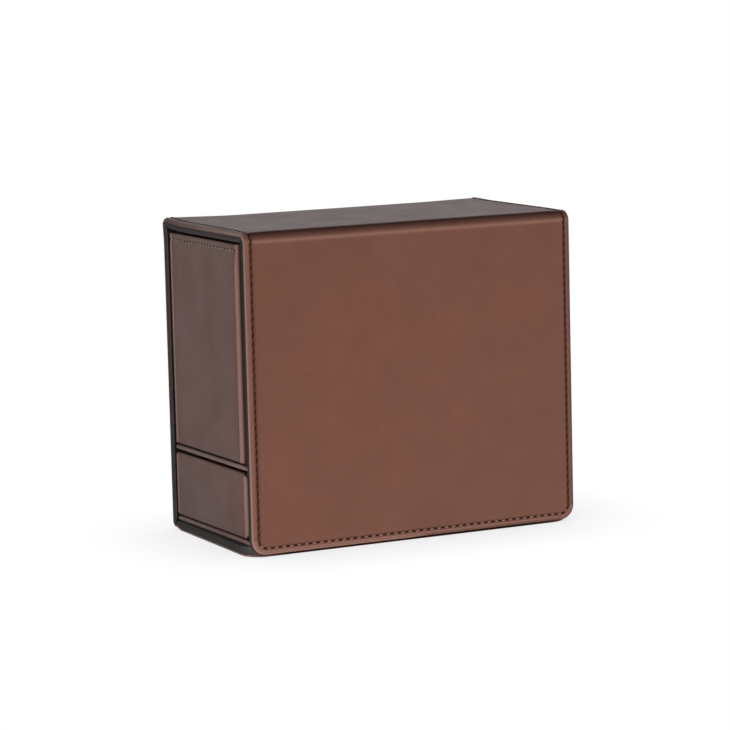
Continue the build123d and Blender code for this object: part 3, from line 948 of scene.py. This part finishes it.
all_stitches = strip_row()
flap_row = [stitch for stitch in all_stitches if stitch[1] <= flap_seam]
lid_row = [stitch for stitch in all_stitches if flap_seam < stitch[1] <= back_seam]
back_row = [stitch for stitch in all_stitches if stitch[1] > back_seam]
# The flap and back rows take the thread with painted light on their level stretches and painted shade on
# their upright ones; the lid takes the lit one throughout.
flap_stitches = sew("flap_stitches", flap_row, wrap_point, thread_painted_light, thread_painted_shade)
lid_stitches = sew("lid_stitches", lid_row, wrap_point, thread_painted_light, thread_painted_light)
back_stitches = sew("back_stitches", back_row, wrap_point, thread_painted_light, thread_painted_shade)
bend_front(flap_stitches)
bend_rear(lid_stitches)
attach(back_stitches, "case")
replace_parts(flap_stitches, "flap_thread")
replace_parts(lid_stitches, "lid_thread")
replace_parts(back_stitches, "back_thread")

# %% [markdown]
# ## Padded ends
# The ends of the carcass are boards with a thin foam under the leatherette. The foam lets the
# skin roll softly over the two upright edges, pinches in at the top and bottom, and swells a
# little between. They are blanks like the strip, set upright at the ends of the box.

# %% Shape of a padded end
FRONT_ROLL = (2.3 * MM, 1.8 * MM)
OTHER_ROLL = (0.8 * MM, 0.7 * MM)
PAD_SWELL = 0.25 * MM
PAD_RIM = 0.15 * MM
RIM_GROOVE = 0.12 * MM
RIM_PITCH = 3.05 * MM
RIM_STITCH = Vector((1.0, 1.7, 0.6)) * MM
RIM_HOLE = Vector((0.7, 1.3, 0.25)) * MM
PANEL_GAPS = (0.9 * MM, 0.1 * MM)
FACE_GAPS = (0.7 * MM, 0.2 * MM)
# Painted shade in the crease round each pad:
CREASE_REACH = 0.7 * MM
CREASE_PAINTED_SHADE = 0.85
# Painted highlight along the rear edge, which also swells a little:
SHINE_INSET = 1.6 * MM
SHINE_HALF = 0.8 * MM
SHINE_SWELL = 0.35 * MM
SHINE_GAIN = 1.5
# Painted highlight on the front roll:
ROLL_PAINTED_HIGHLIGHT = 0.6
ROLL_FADE = (0.8 * FRONT_ROLL[0], FRONT_ROLL[0])
# Painted shade in the seam beside the front roll:
ROLL_SEAM_PAINTED_SHADE = 0.7
ROLL_SWELL = (1.5 * MM, 0.9 * MM, 0.6 * MM)
ROW_END = 1.0 * MM
ROLL_SEAM = (2.8 * MM, 0.35 * MM, 0.2 * MM)
ROLL_SCORES = (0.3, 0.6, 0.9, 1.25, 1.6, 2.0, 2.4, 2.7, 3.0, 3.6)


def round_over(inset, roll):
    """How far a face has dropped at a distance from its edge, on a quarter of an ellipse."""
    reach, drop = roll
    if inset >= reach:
        return 0.0
    return drop * (1 - math.sqrt(max(1 - (1 - inset / reach) ** 2, 0.0)))


def end_pad(name, node, body, side, gaps, corner=0.0, rim_row=None):
    """A padded end in place of a CAD node, with or without a sewn row under its top edge."""
    low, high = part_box(node)
    low.z += gaps[0]
    high.z -= gaps[1]
    width = high.y - low.y
    height = high.z - low.z
    outer = high.x if side > 0 else low.x
    bm = cut_blank(
        (0, 0), (width, height), high.x - low.x, rim=PAD_RIM, low_corner=corner, high_corner=corner
    )
    lines = [line * MM for line in ROLL_SCORES]
    for direction, size in ((ALONG_X, width), (ALONG_Y, height)):
        score(bm, direction, lines + [size - line for line in lines])
        score(bm, direction, evenly(lines[-1], size - lines[-1], PANEL_MESH))

    def pad_inset(across, up):
        return inset_in(min(across, width - across), min(up, height - up), corner)

    def roll_seam(across):
        return peak(across - ROLL_SEAM[0], ROLL_SEAM[1])

    def rear_shine(across):
        return min(SHINE_GAIN * peak(width - across - SHINE_INSET, SHINE_HALF), 1)

    # Painted highlight on the rear edge and the front roll.
    def pad_painted_highlight(across, up, depth):
        return max(rear_shine(across), ROLL_PAINTED_HIGHLIGHT * (1 - smooth(across, *ROLL_FADE)))

    # Painted shade in the crease round the edge and in the roll's seam.
    def pad_painted_shade(across, up, depth):
        edge = CREASE_PAINTED_SHADE * (1 - smooth(pad_inset(across, up), 0, CREASE_REACH))
        return max(edge, ROLL_SEAM_PAINTED_SHADE * roll_seam(across))

    def pad_height(across, up):
        drop = max(round_over(across, FRONT_ROLL), round_over(pad_inset(across, up), OTHER_ROLL))
        swell = PAD_SWELL * math.sin(math.pi * across / width) * math.sin(math.pi * up / height)
        below_row = smooth(height - up, stitch_inset, 2 * stitch_inset) if rim_row else 1.0
        swell += ROLL_SWELL[2] * peak(across - ROLL_SWELL[0], ROLL_SWELL[1]) * below_row
        swell += SHINE_SWELL * rear_shine(across)
        groove = RIM_GROOVE * peak(height - up - stitch_inset, GROOVE_HALF) if rim_row else 0.0
        return swell - drop - groove - ROLL_SEAM[2] * roll_seam(across)

    def on_end(across, up, lift):
        return Vector((outer + side * lift, low.y + across, low.z + up))

    paint_light_and_shade(bm, pad_painted_highlight, pad_painted_shade)
    for point in bm.verts:
        if point.co.z > -2 * PAD_RIM:
            point.co.z += pad_height(min(max(point.co.x, 0), width), point.co.y)
    for point in bm.verts:
        point.co = on_end(*point.co)
    pad = finish_piece(name, bm, leatherette)
    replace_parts(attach(pad, body), node)
    if rim_row:
        up = height - stitch_inset
        count = int((width - 2 * ROW_END) / (RIM_PITCH / 2))
        places = [ROW_END + step * RIM_PITCH / 2 for step in range(count + 1)]
        row = [(x, up, QUARTER, pad_height(x, up), step % 2 == 1) for step, x in enumerate(places)]
        yarns = (beige_thread, beige_thread)
        stitches = sew(rim_row + "_stitches", row, on_end, *yarns, RIM_STITCH, RIM_HOLE)
        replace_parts(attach(stitches, body), rim_row + "_thread")


FACE_CORNER = 2.8 * MM
end_pad("left_end_pad", "left_end_panel", "case", -1, PANEL_GAPS, rim_row="left_rim")
end_pad("right_end_pad", "right_end_panel", "case", 1, PANEL_GAPS, rim_row="right_rim")
end_pad("bay_end_pad", "bay_end_panel", "case", 1, FACE_GAPS, corner=FACE_CORNER)
end_pad("drawer_face_pad", "drawer_face", "drawer", -1, FACE_GAPS, corner=FACE_CORNER)

# %% [markdown]
# ## Soft liners
# The wells and the drawer are lined with suede glued to the boards. The CAD solids have the right
# size, but cloth has no sharp edges, so a copy of each is cleaned of its loose triangles, its
# edges are rolled over, and the copy stands for the solid.

# %% Roll the edges of each liner
LINER_ROUND = 0.3 * MM


def soft_liner(name, node, body):
    """A rounded copy of a liner's solid."""
    bm = bmesh.new()
    bm.from_mesh(nodes[node].data)
    bmesh.ops.remove_doubles(bm, verts=bm.verts, dist=FACE_LEVEL)
    bmesh.ops.dissolve_limit(bm, angle_limit=FLAT_ANGLE, verts=bm.verts, edges=bm.edges)
    sharp = [edge for edge in bm.edges if edge.calc_face_angle(0) > SHARP_ANGLE]
    roll_edges(bm, sharp, LINER_ROUND, 2)
    bmesh.ops.triangulate(bm, faces=[face for face in bm.faces if len(face.verts) > 4])
    piece = finish_piece(name, bm, well_suede)
    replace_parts(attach(piece, body), node)


soft_liner("left_well_suede", "left_well_liner", "case")
soft_liner("right_well_suede", "right_well_liner", "case")
soft_liner("drawer_suede", "drawer_liner", "drawer")

# %% [markdown]
# ## Boards that stay as they are
# The boards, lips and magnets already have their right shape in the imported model. They only need
# a finish, and edges that catch a little light: Weld joins the loose triangles, and Bevel rounds
# what is left.

# %% Finish the CAD nodes that show
BOARD_ROUND = 0.35 * MM
WELD_REACH = 0.002 * MM
finishes = {
    wrapped_board: (
        "front_facing", "front_wall", "back_wall", "shelf", "partition", "drawer_floor",
        "left_end_board", "right_end_board",
        "drawer_front_wall", "drawer_back_wall", "drawer_end_wall",
    ),
    lip_leather_painted_highlight: ("left_shelf_lip", "right_shelf_lip", "drawer_lip"),
    grey_board: ("bottom_stiffener", "back_stiffener", "lid_stiffener", "flap_stiffener"),
    magnet_steel: ("wall_magnets", "flap_magnets"),
}
for finish, names in finishes.items():
    for name in names:
        board = nodes[name]
        board.data.materials.clear()
        board.data.materials.append(finish)
        weld = board.modifiers.new("weld", "WELD")
        weld.merge_threshold = WELD_REACH
        bevel = board.modifiers.new("round", "BEVEL")
        bevel.width = BOARD_ROUND
        bevel.segments = 2
        bevel.limit_method = "ANGLE"
        bevel.angle_limit = SHARP_ANGLE
    print(finish.name, "on", len(names), "nodes")

# %% [markdown]
# ## Stage
# The table is white, and so is the background. Seen directly or in a reflection it glows evenly,
# apart from a soft shadow painted into the glow by ambient occlusion where the box stands close. The
# light on the box comes mostly from below and in front, thrown up by the lit table: a lamp that lies
# on the table stands for it. A second, low lamp at the front left brings out the rolled edges.

# %% Floor
FLOOR_SIZE = 40.0
SHADOW_REACH = 0.05
SHADOW_LEVEL = 0.78

floor_mesh = bpy.data.meshes.new("floor")
floor_bm = bmesh.new()
bmesh.ops.create_grid(floor_bm, x_segments=1, y_segments=1, size=FLOOR_SIZE / 2)
floor_bm.to_mesh(floor_mesh)
floor_bm.free()
floor = bpy.data.objects.new("floor", floor_mesh)
bpy.context.scene.collection.objects.link(floor)


def seen_share(tree):
    """1 where a ray comes from the camera, a reflection or a clear body, and 0 for other light."""
    path = add_node(tree, "LightPath").outputs
    direct = calculate(tree, "MAXIMUM", path["Is Camera Ray"], path["Is Glossy Ray"])
    return calculate(tree, "MAXIMUM", direct, path["Is Transmission Ray"])


floor_white, floor_tree, floor_shader = new_material("floor_white", (0.9, 0.9, 0.9), 0.9)
# Painted shadow: ambient occlusion darkens the floor's glow where the box stands close.
floor_shade = add_node(floor_tree, "AmbientOcclusion", Distance=SHADOW_REACH)
floor_level = spread(floor_tree, floor_shade.outputs["AO"], 0.3, 1.0, SHADOW_LEVEL, 1.0)
floor_glow = add_node(floor_tree, "Emission", Strength=floor_level)
floor_mix = add_node(floor_tree, "MixShader")
floor_tree.links.new(seen_share(floor_tree), floor_mix.inputs[0])
floor_tree.links.new(floor_shader.outputs[0], floor_mix.inputs[1])
floor_tree.links.new(floor_glow.outputs[0], floor_mix.inputs[2])
floor_tree.links.new(floor_mix.outputs[0], floor_tree.nodes["Material Output"].inputs["Surface"])
floor_mesh.materials.append(floor_white)
print("floor:", FLOOR_SIZE, "m")

# %% World
BACK_WALL = 0.3
FRONT_WALL = 0.1
OVERHEAD = 0.1
LEFT_SHARE = 0.3
world = bpy.data.worlds.new("studio")
world.use_nodes = True
bpy.context.scene.world = world
sky = world.node_tree
sky_light = sky.nodes["Background"]
sky_place = add_node(sky, "TexCoord").outputs["Generated"]
sky_split = add_node(sky, "SeparateXYZ", Vector=sky_place).outputs
sky_height = spread(sky, sky_split["Z"], 0.1, 0.6, 1.0, OVERHEAD)
sky_depth = spread(sky, sky_split["Y"], -0.2, 0.7, FRONT_WALL, BACK_WALL)
sky_side = spread(sky, sky_split["X"], -0.9, 0.2, LEFT_SHARE, 1.0)
sky_wall = calculate(sky, "MULTIPLY", sky_depth, sky_side)
sky_band = calculate(sky, "MULTIPLY", sky_height, sky_wall)
sky_level = add_node(sky, "Mix", data_type="FLOAT")
sky_level.inputs[3].default_value = 1.0
sky.links.new(seen_share(sky), sky_level.inputs[0])
sky.links.new(sky_band, sky_level.inputs[2])
sky.links.new(sky_level.outputs[0], sky_light.inputs["Strength"])
sky_light.inputs["Color"].default_value = (1, 1, 1, 1)
print("world:", world.name)

# %% Lamps
TABLE_GLOW = 1.03
GLOW_WIDTH = 1.05
GLOW_DEPTH = 0.7
GLOW_SHIFT = 0.3
GLOW_LIFT = 1.0 * MM
KEY_PLACE = Vector((-0.49, -1.1, 0.06))
KEY_SIZE = 0.5
KEY_POWER = 8.0

glow_data = bpy.data.lights.new("table_glow", "AREA")
glow_data.shape = "RECTANGLE"
glow_data.size = GLOW_WIDTH
glow_data.size_y = GLOW_DEPTH
glow_data.energy = TABLE_GLOW * math.pi * GLOW_WIDTH * GLOW_DEPTH
glow = bpy.data.objects.new("table_glow", glow_data)
glow.location = (GLOW_SHIFT, cad_low.y - GLOW_DEPTH / 2, GLOW_LIFT)
glow.rotation_euler = (math.pi, 0, 0)

key_data = bpy.data.lights.new("low_key", "AREA")
key_data.size = KEY_SIZE
key_data.energy = KEY_POWER
key = bpy.data.objects.new("low_key", key_data)
key.location = KEY_PLACE
key.rotation_euler = (-KEY_PLACE).to_track_quat("-Z", "Y").to_euler()

for lamp in (glow, key):
    lamp.visible_camera = False
    lamp.visible_glossy = False
    bpy.context.scene.collection.objects.link(lamp)
    print("lamp:", lamp.name, round(lamp.data.energy, 1), "W")

# %% [markdown]
# ## Camera
# The photograph was taken with a long lens from the front left, a little above the box. Yaw,
# pitch and roll give the three directions of the camera, and the offset slides it sideways.

# %% Camera
CAMERA_YAW = math.radians(26.58)
CAMERA_PITCH = math.radians(7.76)
CAMERA_ROLL = math.radians(-1.46)
CAMERA_DISTANCE = 1.4396
CAMERA_OFFSET = (-1.99 * MM, 2.42 * MM)
CAMERA_LENS = 160.66

target = Vector((0, 0, (cad_low.z + cad_high.z) / 2))

forward = Vector((
    math.sin(CAMERA_YAW) * math.cos(CAMERA_PITCH),
    math.cos(CAMERA_YAW) * math.cos(CAMERA_PITCH),
    -math.sin(CAMERA_PITCH),
))
level_right = Vector((math.cos(CAMERA_YAW), -math.sin(CAMERA_YAW), 0))
level_up = level_right.cross(forward)
right = level_right * math.cos(CAMERA_ROLL) + level_up * math.sin(CAMERA_ROLL)
up = level_up * math.cos(CAMERA_ROLL) - level_right * math.sin(CAMERA_ROLL)

camera_data = bpy.data.cameras.new("camera")
camera_data.lens = CAMERA_LENS
camera = bpy.data.objects.new("camera", camera_data)
place = target - forward * CAMERA_DISTANCE + right * CAMERA_OFFSET[0] + up * CAMERA_OFFSET[1]
camera.matrix_world = Matrix.Translation(place) @ Matrix((right, up, -forward)).transposed().to_4x4()
bpy.context.scene.collection.objects.link(camera)
bpy.context.scene.camera = camera
bpy.context.scene.view_settings.view_transform = "Standard"
print("camera at", [round(value, 3) for value in place])
